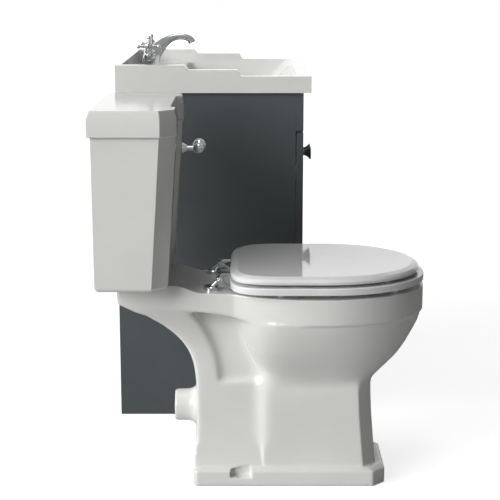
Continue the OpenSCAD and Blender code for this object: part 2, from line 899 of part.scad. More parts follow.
// Flush lever
lever_face = -(tank_depth(lever_z + rose_r) + 0.2);
hub_y = lever_face - 37;
inner_face = -(tank_depth(lever_z) - front_sink - tank_t) + 0.8;
module lever_rose() {
    color(chrome)
        place()
            difference() {
                union() {
                    translate([lever_x, lever_face, lever_z])
                        rotate([90, 0, 0])
                            rotate_extrude()
                                polygon([
                                    [0, 0], [rose_r, 0], [rose_r, 2.5], [rose_r - 1.5, 5], [rose_r - 4.5, 9],
                                    [rose_r - 5, 12], [0, 12],
                                ]);
                    rod_y(lever_x, lever_z, lever_face - 1, inner_face + 12, spindle_r + 3.5);
                }
                rod_y(lever_x, lever_z, lever_face - 20, inner_face + 20, spindle_r + fit);
            }
}

module lever_nut() {
    color(brass)
        place()
            difference() {
                translate([lever_x, inner_face + 7, lever_z])
                    rotate([90, 0, 0])
                        linear_extrude(7)
                            circle(15, $fn = 6);
                rod_y(lever_x, lever_z, inner_face - 1, inner_face + 8, spindle_r + 3.5 + fit);
            }
}

// Points of a quarter or half circle about a centre on the axis of a turned piece
function arc(r, centre, from, to) = [
    for (i = [0 : 8]) let (a = lerp(from, to, i / 8)) [r * cos(a), centre + r * sin(a)],
];

module flush_lever() {
    color(chrome)
        place() {
            translate([lever_x, hub_y, lever_z]) {
                rotate([-90, 0, 0])
                    rotate_extrude()
                        polygon(concat(
                            [[0, -hub_r]],
                            arc(hub_r, 0, -82, 60),
                            [for (r = [6.5, spindle_r]) [r, lever_face - 12 - clear - hub_y]],
                            [[spindle_r, crank_y - 3 - hub_y], [0, crank_y - 3 - hub_y]]
                        ));
                rotate([0, 90, 0])
                    rotate_extrude()
                        polygon(concat(
                            [[0, 2], [8, 2], [6.5, lever_len - bulb_r]],
                            arc(bulb_r, lever_len, -60, 82),
                            [[0, lever_len + bulb_r]]
                        ));
            }
        }
}

module lever_crank() {
    color(brass)
        place() {
            difference() {
                union() {
                    rod_y(lever_x, lever_z, crank_y - 8, crank_y, spindle_r + 4.5);
                    box([pin_x - 5, crank_y - 4, lever_z - 4.5], [lever_x - 2, crank_y, lever_z + 4.5]);
                }
                rod_y(lever_x, lever_z, crank_y - 20, crank_y - 3, spindle_r + fit);
            }
            rod_y(pin_x, lever_z, crank_y - 3, strap_y + 4, 2);
        }
}

// Seat, lid and their hinges
function seat_ring(z, inset, short) =
    egg(z, seat_back + inset, pan_mid, pan_reach - short - inset, seat_w - inset, 5.5, 2.1, 96);

module seat() {
    color(white_plastic)
        place()
            translate([0, 0, seat_z])
                difference() {
                    linear_extrude(seat_t)
                        polygon(flat(seat_ring(0, 0, 0)));
                    translate([0, 0, -1])
                        linear_extrude(seat_t + 2)
                            polygon(flat(egg(0, 345, 480, 632, 112, 2.3, 2.1, 72)));
                }
}

module seat_lid() {
    color(white_plastic)
        place()
            loft([
                seat_ring(lid_low, 2, lid_short),
                seat_ring(lid_low + lid_t - 9, 1, lid_short),
                seat_ring(lid_low + lid_t - 4, 5, lid_short),
                seat_ring(lid_low + lid_t, lid_bevel, lid_short),
            ]);
}

module hinge_bases() {
    color(chrome)
        place()
            for (side = [-1, 1])
                difference() {
                    union() {
                        translate([side * hinge_x, hinge_base_y, rim_z])
                            rotate_extrude()
                                polygon([[0, 0], [12, 0], [12, 6.5], [10.5, 8.5], [7, 9.5], [0, 9.5]]);
                        rod(
                            [side * hinge_x, hinge_base_y, rim_z + 6],
                            [side * hinge_x, -hinge_y, hinge_z], 4.5
                        );
                        rod_x(-hinge_y, hinge_z, side * hinge_x - 5, side * hinge_x + 5, eye_r);
                    }
                    rod_x(-hinge_y, hinge_z, side * hinge_x - 6, side * hinge_x + 6, hinge_pin_r + fit);
                }
}

// Expanding bolts under the hinge bases, out of sight in the deck
module hinge_bolts() {
    color(steel)
        place()
            for (side = [-1, 1]) {
                rod_z(side * hinge_x, hinge_base_y, rim_z - 40, rim_z - 1, 4);
                rod_z(side * hinge_x, hinge_base_y, rim_z - 36, rim_z - 14, 7.7);
                rod_z(side * hinge_x, hinge_base_y, rim_z - 3, rim_z, 7.7);
            }
}

eye_w = 7;
module hinge_pins() {
    color(chrome)
        place()
            for (side = [-1, 1])
                translate([side * hinge_x, 0, 0])
                    rotate([0, 0, side > 0 ? 0 : 180])
                        translate([0, side * -hinge_y, 0]) {
                            rod_x(0, hinge_z, -5 - eye_w - 2, 5 + eye_w + 1, hinge_pin_r);
                            rod_x(0, hinge_z, -5 - eye_w - 3, -5 - eye_w - 2 * clear, hinge_pin_r + 2);
                            translate([5 + eye_w + 2 * clear, 0, hinge_z])
                                rotate([0, 90, 0])
                                    rotate_extrude()
                                        polygon([
                                            [0, 0], [eye_r, 0], [eye_r, 2], [5, 3.5], [4.5, 5],
                                            [6, 7], [6, 9], [4.5, 10.6], [2, 11.4], [0, 11.5],
                                        ]);
                        }
}

// Eyes outside the hinge bases, with arms under the seat
module seat_arms() {
    color(chrome)
        place()
            for (side = [-1, 1]) {
                x = side * (hinge_x + 5 + clear + eye_w / 2);
                difference() {
                    union() {
                        rod_x(-hinge_y, hinge_z, x - eye_w / 2, x + eye_w / 2, eye_r);
                        translate([x, 0, 0])
                            side_profile(eye_w / 2)
                                polygon([
                                    [-hinge_y + 2, hinge_z - 6.5], [-hinge_y - 6, hinge_z - 2],
                                    [-seat_back + 1, seat_z], [-seat_back - 42, seat_z],
                                    [-seat_back - 42, seat_z - 4], [-seat_back + 2, seat_z - 6],
                                ]);
                    }
                    rod_x(-hinge_y, hinge_z, x - 10, x + 10, hinge_pin_r + fit);
                }
            }
}

// Eyes inside the hinge bases, with arms under the lid
module lid_arms() {
    color(chrome)
        place()
            for (side = [-1, 1]) {
                x = side * (hinge_x - 5 - clear - eye_w / 2);
                difference() {
                    union() {
                        rod_x(-hinge_y, hinge_z, x - eye_w / 2, x + eye_w / 2, eye_r);
                        translate([x, 0, 0])
                            side_profile(eye_w / 2)
                                polygon([
                                    [-hinge_y + 3, hinge_z + 6.5], [-hinge_y - 4, hinge_z + 11],
                                    [-seat_back - 2, lid_low], [-seat_back - 38, lid_low],
                                    [-seat_back - 38, lid_low - 4], [-seat_back + 2, lid_low - 5],
                                    [-hinge_y - 6.5, hinge_z + 3],
                                ]);
                    }
                    rod_x(-hinge_y, hinge_z, x - 10, x + 10, hinge_pin_r + fit);
                }
            }
}

module buffer(x, y, z0, z1) {
    translate([x, y, z0])
        cylinder(z1 - z0, 8, 9);
}

module seat_buffers() {
    color(white_plastic)
        place()
            for (side = [-1, 1]) {
                buffer(side * 140, -385, rim_z + clear, seat_z);
                buffer(side * 105, -619, rim_z + clear, seat_z);
            }
}

module lid_buffers() {
    color(white_plastic)
        place()
            for (side = [-1, 1]) {
                buffer(side * 142, -410, seat_z + seat_t + clear, lid_low);
                buffer(side * 118, -600, seat_z + seat_t + clear, lid_low);
            }
}

// Cabinet
module board(low, high) {
    color(lacquer)
        place()
            box(low, high);
}

pin_ys = [-60, -shelf_d];
module side_board(x, inner) {
    color(lacquer)
        place()
            difference() {
                box([x, board_front, 0], [x + board_t, -cab_gap, cab_h]);
                for (y = pin_ys)
                    rod_x(y, shelf_z - 2.5, inner - 10, inner + 10, 2.5 + fit);
            }
}

module side_left() {
    side_board(cab_x, in_x);
}

module side_right() {
    side_board(cab_x + cab_w - board_t, in_x + in_w);
}

module bottom_panel() {
    board([in_x, board_front, kick_h], [in_x + in_w, -cab_gap, kick_h + board_t]);
}

module kick_board() {
    board([in_x, board_front + kick_set, 0], [in_x + in_w, board_front + kick_set + board_t, kick_h]);
}

module back_rails() {
    color(lacquer)
        place()
            difference() {
                union() {
                    box([in_x, -cab_gap - board_t, cab_h - rail_h], [in_x + in_w, -cab_gap, cab_h]);
                    box(
                        [in_x, -cab_gap - board_t, kick_h + board_t],
                        [in_x + in_w, -cab_gap, kick_h + board_t + rail_h]
                    );
                }
                for (side = [-1, 1])
                    rod_y(cab_mid + side * 200, cab_h - 45, -cab_gap - board_t - 1, 1, 3);
            }
}

// Rail that closes the top of the door opening
module door_rail() {
    top = cab_h - fascia_h - 1.5;
    board([in_x, board_front, top - board_t], [in_x + in_w, board_front + 40, top]);
}

module fascia() {
    board([cab_x, cab_front, cab_h - fascia_h], [cab_x + cab_w, board_front, cab_h]);
}

module shelf() {
    color(lacquer)
        place()
            box([in_x + 1, -30 - shelf_d, shelf_z], [in_x + in_w - 1, -30, shelf_z + board_t]);
}

module shelf_pins() {
    color(steel)
        place()
            for (y = pin_ys) {
                rod_x(y, shelf_z - 2.5, in_x - 9, in_x + 8, 2.5);
                rod_x(y, shelf_z - 2.5, in_x + in_w - 8, in_x + in_w + 9, 2.5);
            }
}

cup_zs = [door_low + cup_end, door_top - cup_end];

// A framed door with a sunk panel; edge is its hinged edge and way points to its free edge
module door(edge, way) {
    x0 = min(edge, edge + way * door_w);
    color(lacquer)
        place()
            difference() {
                box([x0, cab_front, door_low], [x0 + door_w, door_back, door_top]);
                box(
                    [x0 + stile_w, cab_front - 1, door_low + stile_w],
                    [x0 + door_w - stile_w, cab_front + panel_sink, door_top - stile_w]
                );
                for (z = cup_zs)
                    rod_y(edge + way * cup_in, z, door_back - cup_depth - 1, door_back + 1, cup_r);
            }
}

module door_left() {
    door(cab_x, 1);
}

module door_right() {
    door(cab_x + cab_w, -1);
}

module hinge_cups(edge, way) {
    color(steel)
        place()
            for (z = cup_zs) {
                x = edge + way * cup_in;
                rod_y(x, z, door_back - cup_depth, door_back + 0.6, cup_r - fit);
                box([x - 4, door_back, z - 26], [x + 6, door_back + 1.2, z + 26]);
            }
}

module hinge_cups_left() {
    hinge_cups(cab_x, 1);
}

module hinge_cups_right() {
    hinge_cups(cab_x + cab_w, -1);
}

// Plates on the cabinet's sides with the arms that reach to the cups
module hinge_arms() {
    color(steel)
        place()
            for (way = [1, -1])
                for (z = cup_zs) {
                    wall = way > 0 ? in_x : in_x + in_w;
                    translate([wall, door_back, z])
                        mirror([way > 0 ? 0 : 1, 0, 0]) {
                            box([0, 22, -25], [2.5, 62, 25]);
                            box([0, 1.5, -7], [13, 74, 7]);
                        }
                }
}

// Knob: a flared trumpet with a thin round face
module knob(x) {
    color(chrome)
        place()
            translate([x, cab_front, door_top - knob_down])
                rotate([90, 0, 0])
                    rotate_extrude($fn = fine)
                        polygon(concat(
                            [[0, 0], [knob_neck_r + 4, 0], [knob_neck_r + 4, 2.5]],
                            [
                                for (t = [0 : 0.125 : 1])
                                    [
                                        lerp(knob_neck_r, knob_r - 1, t * t * t),
                                        lerp(4, knob_len - 4, t),
                                    ],
                            ],
                            [[knob_r, knob_len - 2.5], [knob_r - 0.8, knob_len - 0.8]],
                            [[knob_r - 4, knob_len], [0, knob_len]]
                        ));
}

module knob_left() {
    knob(cab_x + door_w - knob_in);
}

module knob_right() {
    knob(cab_x + cab_w - door_w + knob_in);
}

// Basin
function swing(t) = (1 - cos(180 * t)) / 2;
function rim_step(at, high, low) = [
    for (t = [0 : 0.125 : 1]) [-at - lerp(-step_run / 2, step_run / 2, t), cab_h + lerp(high, low, swing(t))],
];

module basin_block() {
    translate([cab_mid, 0, 0])
        side_profile(basin_w / 2)
            polygon(concat(
                [[-basin_gap, cab_h], [-basin_gap, cab_h + rim_high]],
                rim_step(step_back, rim_high, rim_mid),
                rim_step(step_front, rim_mid, rim_low),
                [[basin_front, cab_h + rim_low], [basin_front, cab_h]]
            ));
}

module basin_hollow() {
    x0 = basin_x + rim_side_t;
    x1 = basin_x + basin_w - rim_side_t;
    y0 = basin_front + rim_front_t;
    loft([
        round_box(x0 + 44, x1 - 44, y0 + 67, -ledge_d - 22, 40, bowl_floor),
        round_box(x0 + 34, x1 - 34, y0 + 52, -ledge_d - 12, 40, bowl_floor + 12),
        round_box(x0 + 14, x1 - 14, y0 + 27, -ledge_d, 32, cab_h),
        round_box(x0, x1, y0, -ledge_d, 18, cab_h + rim_low - 6),
        round_box(x0, x1, y0, -ledge_d, 18, cab_h + rim_high + over),
    ]);
    box([x0, -ledge_d - 20, ledge_z], [x1, -basin_gap - rim_back_t, cab_h + rim_high + over]);
}

module basin_shell() {
    x0 = basin_x + rim_side_t + 14 - basin_t;
    x1 = basin_x + basin_w - rim_side_t - 14 + basin_t;
    y0 = basin_front + rim_front_t + 27 - basin_t;
    y1 = -ledge_d + basin_t;
    loft([
        round_box(x0 + 36, x1 - 36, y0 + 46, y1 - 28, 40, bowl_floor - basin_t),
        round_box(x0 + 22, x1 - 22, y0 + 28, y1 - 14, 44, bowl_floor + 4),
        round_box(x0, x1, y0, y1, 40, cab_h + 1),
    ]);
}

module basin() {
    color(ceramic)
        place()
            difference() {
                union() {
                    basin_block();
                    basin_shell();
                }
                basin_hollow();
                rod_z(cab_mid, waste_y, bowl_floor - basin_t - over, bowl_floor + over, waste_hole_r);
                rod_z(cab_mid, -tap_y, cab_h - over, ledge_z + over, tap_hole_r);
                rod_y(cab_mid, cab_h + 14, -ledge_d - over, -ledge_d + 24, 9);
            }
}

module overflow_ring() {
    color(chrome)
        place()
            difference() {
                union() {
                    rod_y(cab_mid, cab_h + 14, -ledge_d - 2.5, -ledge_d, 13);
                    rod_y(cab_mid, cab_h + 14, -ledge_d - 1, -ledge_d + 10, 9 - fit);
                }
                rod_y(cab_mid, cab_h + 14, -ledge_d - 3, -ledge_d + 11, 7.5);
            }
}

// Waste and trap
waste_low = bowl_floor - 65;
module waste_body() {
    color(chrome)
        place()
            translate([cab_mid, waste_y, 0])
                difference() {
                    union() {
                        rod_z(0, 0, bowl_floor, bowl_floor + 3, waste_flange_r);
                        rod_z(0, 0, waste_low, bowl_floor + 1, waste_body_r);
                    }
                    rod_z(0, 0, waste_low - 1, bowl_floor + 4, waste_body_r - 3);
                }
}

module waste_nut() {
    color(brass)
        place()
            difference() {
                hexagon_z(cab_mid, waste_y, bowl_floor - basin_t - 9, bowl_floor - basin_t, 29);
                rod_z(
                    cab_mid, waste_y, bowl_floor - basin_t - 10, bowl_floor - basin_t + 1,
                    waste_body_r + fit
                );
            }
}

module waste_plug() {
    color(chrome)
        place()
            translate([cab_mid, waste_y, bowl_floor + 3]) {
                rotate_extrude($fn = fine)
                    polygon([[0, 0], [27, 0], [28, 1], [27, 2.5], [20, 4.6], [10, 5.8], [0, 6]]);
                rod_z(0, 0, -32 - plug_travel, 1, 5);
            }
}

trap_top = waste_low + 12;
trap_socket = 46;
trap_spigot_r = trap_pipe_r - 0.6;
module bottle_trap() {
    color(chrome)
        place()
            translate([cab_mid, waste_y, 0])
                difference() {
                    union() {
                        rod_z(0, 0, trap_top - 22, trap_top, 26);
                        rod_z(0, 0, trap_pipe_z - 45, trap_top - 20, 22);
                        rod_z(0, 0, trap_pipe_z - 34, trap_pipe_z - 24, 27);
                        rod_y(0, trap_pipe_z, 0, trap_socket, 20);
                    }
                    rod_z(0, 0, trap_top - 12, trap_top + 1, waste_body_r + fit);
                    rod_z(0, 0, trap_pipe_z - 46, trap_top, 18);
                    rod_y(0, trap_pipe_z, 0, trap_socket + 1, trap_spigot_r + fit);
                }
}

module trap_cup() {
    color(chrome)
        place()
            translate([cab_mid, waste_y, 0])
                difference() {
                    rotate_extrude($fn = fine)
                        polygon([
                            [0, trap_pipe_z - 96], [18, trap_pipe_z - 95], [24, trap_pipe_z - 90],
                            [27, trap_pipe_z - 80], [27, trap_pipe_z - 34], [0, trap_pipe_z - 34],
                        ]);
                    rod_z(0, 0, trap_pipe_z - 85, trap_pipe_z - 33, 22 + fit);
                }
}

module trap_pipe() {
    color(chrome)
        place()
            difference() {
                union() {
                    rod_y(cab_mid, trap_pipe_z, waste_y + trap_socket, -12, trap_pipe_r);
                    rod_y(cab_mid, trap_pipe_z, waste_y + 25, waste_y + trap_socket + 1, trap_spigot_r);
                }
                rod_y(cab_mid, trap_pipe_z, waste_y + 24, -11, trap_pipe_r - 1.8);
            }
}

// Tap: a body that tapers into a swan neck spout, with a boss for a valve at each side
shank_low = cab_h - 14;
module along_valve(side) {
    translate([cab_mid, -tap_y, valve_z])
        rotate([0, side * (90 - valve_slope), 0])
            children();
}

module spout() {
    top = ledge_z + spout_rise;
    mouth = tap_y + spout_reach;
    function r(share) = lerp(spout_crown_r, body_r, share);
    path = [
        [-tap_y, ledge_z + 3, r(1)], [-tap_y - 0.5, ledge_z + 16, r(1)],
        [-tap_y - 2.5, ledge_z + 30, r(0.97)], [-tap_y - 8.5, ledge_z + 42.5, r(0.84)],
        [-tap_y - 19.5, top - 30.5, r(0.61)],
        [-tap_y - 31.5, top - 18, r(0.41)], [-tap_y - 42, top - 10.3, r(0.24)],
        [-tap_y - 53.5, top - 4.2, r(0.11)], [-tap_y - 65, top - 1, r(0.04)],
        [-mouth + 31.5, top, r(0)], [-mouth + 18.5, top - 1, r(0.01)], [-mouth + 8, top - 5, r(0.06)],
        [-mouth + 2.5, top - 10, r(0.11)], [-mouth, top - 15, r(0.15)],
    ];
    color(chrome)
        place() {
            bar_along(curve(path, 2), cab_mid, 24);
            translate([cab_mid, -tap_y, ledge_z])
                rotate_extrude()
                    polygon([[0, 0], [body_r + 3, 0], [body_r + 3, 2.5], [body_r + 0.5, 4.5], [0, 4.5]]);
            for (side = [-1, 1])
                along_valve(side)
                    cylinder(33, 14, 14);
            rod_z(cab_mid, -tap_y, shank_low, ledge_z + 1, tap_hole_r - 2);
        }
}

module tap_valves() {
    color(chrome)
        place()
            for (side = [-1, 1])
                along_valve(side)
                    rotate_extrude()
                        polygon([
                            [0, 33], [15, 33], [15, 35], [13.5, 37], [11.5, 41], [11, 46], [13, 49.5],
                            [13, handle_out - 23], [5, handle_out - 23], [5, handle_out - 14],
                            [0, handle_out - 14],
                        ]);
}

// Crosshead handle with four round ended arms
module crosshead(side) {
    color(chrome)
        place()
            along_valve(side)
                translate([0, 0, handle_out])
                    difference() {
                        union() {
                            rotate_extrude()
                                polygon([
                                    [0, -22.5], [11, -22.5], [12, -20], [8.5, -12], [9.5, -7], [9.5, 6],
                                    [7.5, 8], [7.5, 9], [6.5, 11.5], [3.5, 13], [0, 13.5],
                                ]);
                            for (a = [0 : 90 : 270])
                                rotate([0, 90, a]) {
                                    cylinder(handle_arm, 4.5, 3);
                                    translate([0, 0, handle_arm])
                                        sphere(5.5);
                                }
                        }
                        translate([0, 0, -23])
                            cylinder(10, 5 + fit, 5 + fit);
                    }
}

module hot_handle() {
    crosshead(-1);
}

module cold_handle() {
    crosshead(1);
}

// Back nut under the basin
module tap_nuts() {
    color(brass)
        place()
            difference() {
                hexagon_z(cab_mid, -tap_y, cab_h - 8, cab_h, 25);
                rod_z(cab_mid, -tap_y, cab_h - 9, cab_h + 1, tap_hole_r - 2 + fit);
            }
}

// Unions under the tap with the copper pipes that spread to the tails
tail_top = cab_h - 84;
module tap_links() {
    color(brass)
        place()
            for (side = [-1, 1])
                translate([cab_mid, -tap_y, 0]) {
                    bend = [side * 8.2, 0, shank_low - 26];
                    knee = [side * tail_out, 0, tail_top + 12];
                    hexagon_z(side * 8.2, 0, shank_low - 10, shank_low, 7);
                    rod([side * 8.2, 0, shank_low - 9], bend, 5);
                    rod(bend, knee, 5);
                    rod(knee, [side * tail_out, 0, tail_top], 5);
                    for (p = [bend, knee])
                        translate(p)
                            sphere(5.2);
                }
}

module tap_tails() {
    color(brass)
        place()
            for (side = [-1, 1])
                rod_z(cab_mid + side * tail_out, -tap_y, cab_h - 190, tail_top, 7.5);
}

pan();
cistern();
cistern_lid();
coupling_gasket();
coupling_bolts();
coupling_nuts();
flush_valve_body();
flush_valve_nut();
flush_plunger();
flush_seal();
lift_link();
fill_valve();
fill_valve_nut();
float_cup();
lever_rose();
lever_nut();
flush_lever();
lever_crank();
seat();
seat_lid();
hinge_bases();
hinge_pins();
hinge_bolts();
seat_arms();
lid_arms();
seat_buffers();
lid_buffers();
side_left();
side_right();
bottom_panel();
kick_board();
back_rails();
door_rail();
fascia();
shelf();
shelf_pins();
door_left();
door_right();
knob_left();
knob_right();
hinge_arms();
hinge_cups_left();
hinge_cups_right();
basin();
overflow_ring();
waste_body();
waste_nut();
waste_plug();
bottle_trap();
trap_cup();
trap_pipe();
spout();
tap_valves();
hot_handle();
cold_handle();
tap_nuts();
tap_links();
tap_tails();
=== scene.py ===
"""A close coupled toilet standing beside an anthracite cabinet with a ceramic basin, seen from the toilet's side."""
import json
import math

import bmesh
import bpy
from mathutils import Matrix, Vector

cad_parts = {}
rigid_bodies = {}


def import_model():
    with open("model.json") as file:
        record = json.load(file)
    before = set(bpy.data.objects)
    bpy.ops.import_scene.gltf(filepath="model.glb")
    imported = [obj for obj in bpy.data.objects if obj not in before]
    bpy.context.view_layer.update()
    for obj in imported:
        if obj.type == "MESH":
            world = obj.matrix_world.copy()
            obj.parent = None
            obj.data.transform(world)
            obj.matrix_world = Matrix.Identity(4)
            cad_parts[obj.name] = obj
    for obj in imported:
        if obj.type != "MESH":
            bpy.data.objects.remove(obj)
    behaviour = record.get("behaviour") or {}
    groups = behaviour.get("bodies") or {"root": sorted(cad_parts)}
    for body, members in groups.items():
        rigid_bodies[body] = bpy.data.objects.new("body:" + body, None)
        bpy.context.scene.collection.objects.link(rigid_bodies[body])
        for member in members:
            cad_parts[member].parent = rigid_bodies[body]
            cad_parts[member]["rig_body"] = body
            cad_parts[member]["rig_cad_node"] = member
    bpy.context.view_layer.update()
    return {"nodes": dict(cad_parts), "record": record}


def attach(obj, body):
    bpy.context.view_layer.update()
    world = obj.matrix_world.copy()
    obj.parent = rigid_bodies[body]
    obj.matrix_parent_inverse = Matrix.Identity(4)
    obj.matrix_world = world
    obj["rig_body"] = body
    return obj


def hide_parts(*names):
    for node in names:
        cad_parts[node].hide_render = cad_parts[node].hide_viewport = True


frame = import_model()

# The frame's middle lies this far from the pan's middle line and from the wall, in metres.
PAN_TO_MIDDLE = 0.3865
WALL_TO_MIDDLE = 0.34575


def at(x, y, z):
    """The place that a fitter measures in millimetres from the pan's middle line, the wall and the floor."""
    return Vector((x / 1000 - PAN_TO_MIDDLE, y / 1000 + WALL_TO_MIDDLE, z / 1000))


def measured(place):
    """What a fitter measures at a place: at() the other way round."""
    return (place.x + PAN_TO_MIDDLE) * 1000, (place.y - WALL_TO_MIDDLE) * 1000, place.z * 1000


def put_down():
    """Leaves edit mode, with nothing selected."""
    if bpy.context.object and bpy.context.object.mode != "OBJECT":
        bpy.ops.object.mode_set(mode="OBJECT")
    bpy.ops.object.select_all(action="DESELECT")


def pick_up(piece):
    """Selects a piece alone."""
    put_down()
    piece.select_set(True)
    bpy.context.view_layer.objects.active = piece


def use(piece, kind, **settings):
    """Adds a modifier with its settings and applies it."""
    pick_up(piece)
    made = piece.modifiers.new(kind.lower(), kind)
    for name, value in settings.items():
        setattr(made, name, value)
    bpy.ops.object.modifier_apply(modifier=made.name)


# The camera stands where the photograph's vanishing lines put it: square to the toilet's side, looking a little down.
CAMERA_PITCH = 12.12
bpy.ops.object.camera_add(
    location=at(-2812, -321, 1100), rotation=(math.radians(90 - CAMERA_PITCH), 0, math.radians(-90))
)
camera = bpy.context.object
camera.name = "side_camera"
camera.data.sensor_width = 36
camera.data.lens = 96.9
camera.data.clip_end = 200
bpy.context.scene.camera = camera


def linear(hex_colour):
    """An sRGB hex colour as linear red, green, blue and alpha."""
    channels = [int(hex_colour[i : i + 2], 16) / 255 for i in (1, 3, 5)]
    return [c / 12.92 if c <= 0.04045 else ((c + 0.055) / 1.055) ** 2.4 for c in channels] + [1]


def add(tree, kind, inputs=None, **settings):
    """Adds one node: settings are its own values, inputs are values or the sockets that feed it."""
    made = tree.nodes.new(kind)
    for name, value in settings.items():
        setattr(made, name, value)
    for name, value in (inputs or {}).items():
        if isinstance(value, bpy.types.NodeSocket):
            tree.links.new(value, made.inputs[name])
        else:
            made.inputs[name].default_value = value
    return made


def finish(name, **values):
    """A new material: returns it with its tree, its shader and the object's own coordinates."""
    made = bpy.data.materials.new(name)
    made.use_nodes = True
    tree = made.node_tree
    shader = tree.nodes["Principled BSDF"]
    for socket, value in values.items():
        shader.inputs[socket.replace("_", " ")].default_value = value
    place = add(tree, "ShaderNodeTexCoord").outputs["Object"]
    return made, tree, shader, place


# A noise keeps to this range nearly everywhere.
NOISE_LOW, NOISE_HIGH = 0.3, 0.7


def vary(tree, shader, place, socket, scale, low, high, detail=2.0):
    """Lets one value of the shader drift between two values over patches of a real size, 1 / scale metres wide."""
    noise = add(tree, "ShaderNodeTexNoise", {"Vector": place, "Scale": scale, "Detail": detail})
    ramp = add(
        tree, "ShaderNodeMapRange", {"Value": noise.outputs["Fac"], "From Min": NOISE_LOW, "From Max": NOISE_HIGH}
    )
    if isinstance(low, str):
        mix = add(
            tree, "ShaderNodeMix", {"Factor": ramp.outputs["Result"], "A": linear(low), "B": linear(high)},
            data_type="RGBA",
        )
        tree.links.new(mix.outputs["Result"], shader.inputs[socket])
    else:
        ramp.inputs["To Min"].default_value = low
        ramp.inputs["To Max"].default_value = high
        tree.links.new(ramp.outputs["Result"], shader.inputs[socket])


# Vitreous china: slip cast, dipped in a clear glaze and fired. The glaze pulls into slow waves about 25 mm apart,
# so reflections of straight edges bend a little, and its white is faintly warm and uneven.
china, tree, shader, place = finish("glazed_vitreous_china", IOR=1.52)
vary(tree, shader, place, "Base Color", 9, "#ECECE9", "#F1F1EE")
vary(tree, shader, place, "Roughness", 30, 0.1, 0.15)
waves = add(tree, "ShaderNodeTexNoise", {"Vector": place, "Scale": 40, "Detail": 1})
bump = add(tree, "ShaderNodeBump", {"Height": waves.outputs["Fac"], "Strength": 0.2, "Distance": 0.0006})
tree.links.new(bump.outputs["Normal"], shader.inputs["Normal"])

# Moulded thermoset seat: whiter and flatter than the china, with the high gloss of a polished mould.
seat_plastic, tree, shader, place = finish("moulded_white_thermoset", IOR=1.53)
vary(tree, shader, place, "Base Color", 14, "#F0F0F0", "#F4F4F4")
vary(tree, shader, place, "Roughness", 50, 0.04, 0.07)

# Chrome plate over polished brass: a cold mirror with faint wiping marks.
chrome, tree, shader, place = finish("polished_chrome_plate", Metallic=1.0, Base_Color=linear("#C9CBCD"))
vary(tree, shader, place, "Roughness", 120, 0.03, 0.09, 4.0)

# Sprayed satin lacquer on board: the fine orange peel of the spray gun breaks up the sheen. Its real grain of
# about 1 mm would not show, so it is drawn at 5 mm.
lacquer, tree, shader, place = finish("satin_anthracite_lacquer", IOR=1.5, Specular_IOR_Level=0.3)
vary(tree, shader, place, "Base Color", 7, "#53585A", "#595E60")
vary(tree, shader, place, "Roughness", 60, 0.38, 0.46)
peel = add(tree, "ShaderNodeTexNoise", {"Vector": place, "Scale": 200, "Detail": 2})
bump = add(tree, "ShaderNodeBump", {"Height": peel.outputs["Fac"], "Strength": 0.12, "Distance": 0.0004})
tree.links.new(bump.outputs["Normal"], shader.inputs["Normal"])

# Turned and sawn brass, gone a little dull.
brass, tree, shader, place = finish("machined_brass", Metallic=1.0)
vary(tree, shader, place, "Base Color", 60, "#BFA05E", "#CDB06C")
vary(tree, shader, place, "Roughness", 150, 0.22, 0.38)

# Moulded polypropylene of the valves: soft and slightly waxy.
valve_plastic, tree, shader, place = finish("moulded_polypropylene", IOR=1.49)
vary(tree, shader, place, "Base Color", 40, "#D9DBDD", "#E0E2E4")
vary(tree, shader, place, "Roughness", 90, 0.35, 0.5)

# Black rubber of the gasket and the valve's washer.
rubber, tree, shader, place = finish("black_rubber", IOR=1.52)
vary(tree, shader, place, "Base Color", 80, "#1B1B1B", "#232323")
vary(tree, shader, place, "Roughness", 200, 0.6, 0.75)

# Zinc plated pressed steel of the cabinet's hinges and pins.
zinc, tree, shader, place = finish("zinc_plated_steel", Metallic=1.0)
vary(tree, shader, place, "Base Color", 70, "#A9ABAD", "#B6B8BA")
vary(tree, shader, place, "Roughness", 160, 0.25, 0.4)

finish_of_slot = {
    "glazed ceramic": china,
    "white plastic": seat_plastic,
    "chrome": chrome,
    "brass": brass,
    "valve plastic": valve_plastic,
    "rubber": rubber,
    "steel": zinc,
    "lacquered board": lacquer,
}
slot_of = {s["node"]: s["material_slot"] for s in frame["record"]["subparts"]}
body_of = {n: b for b, members in frame["record"]["behaviour"]["bodies"].items() for n in members}


def dress(piece, material):
    """Gives a piece one material all over."""
    piece.data.materials.clear()
    piece.data.materials.append(material)


for name, solid in frame["nodes"].items():
    dress(solid, finish_of_slot[slot_of[name]])


def settle(piece, node):
    """Gives a finished piece the body, the finish and the place of the solid that it stands for."""
    dress(piece, finish_of_slot[slot_of[node]])
    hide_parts(node)
    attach(piece, body_of[node])


# Corners of a solid's triangles that lie closer than this, in metres, are one corner.
SAME_PLACE = 0.00001


def blank(node, name):
    """A copy of a solid as one closed skin, ready to be worked on."""
    put_down()
    piece = frame["nodes"][node].copy()
    piece.data = piece.data.copy()
    piece.parent = None
    piece.name = name
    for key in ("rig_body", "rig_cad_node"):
        del piece[key]
    bpy.context.scene.collection.objects.link(piece)
    pick_up(piece)
    bpy.ops.object.mode_set(mode="EDIT")
    bpy.ops.mesh.select_all(action="SELECT")
    bpy.ops.mesh.remove_doubles(threshold=SAME_PLACE)
    bpy.ops.object.mode_set(mode="OBJECT")
    return piece


# Faces that turn by less than this, in degrees, are one flat face.
FLAT = 0.6


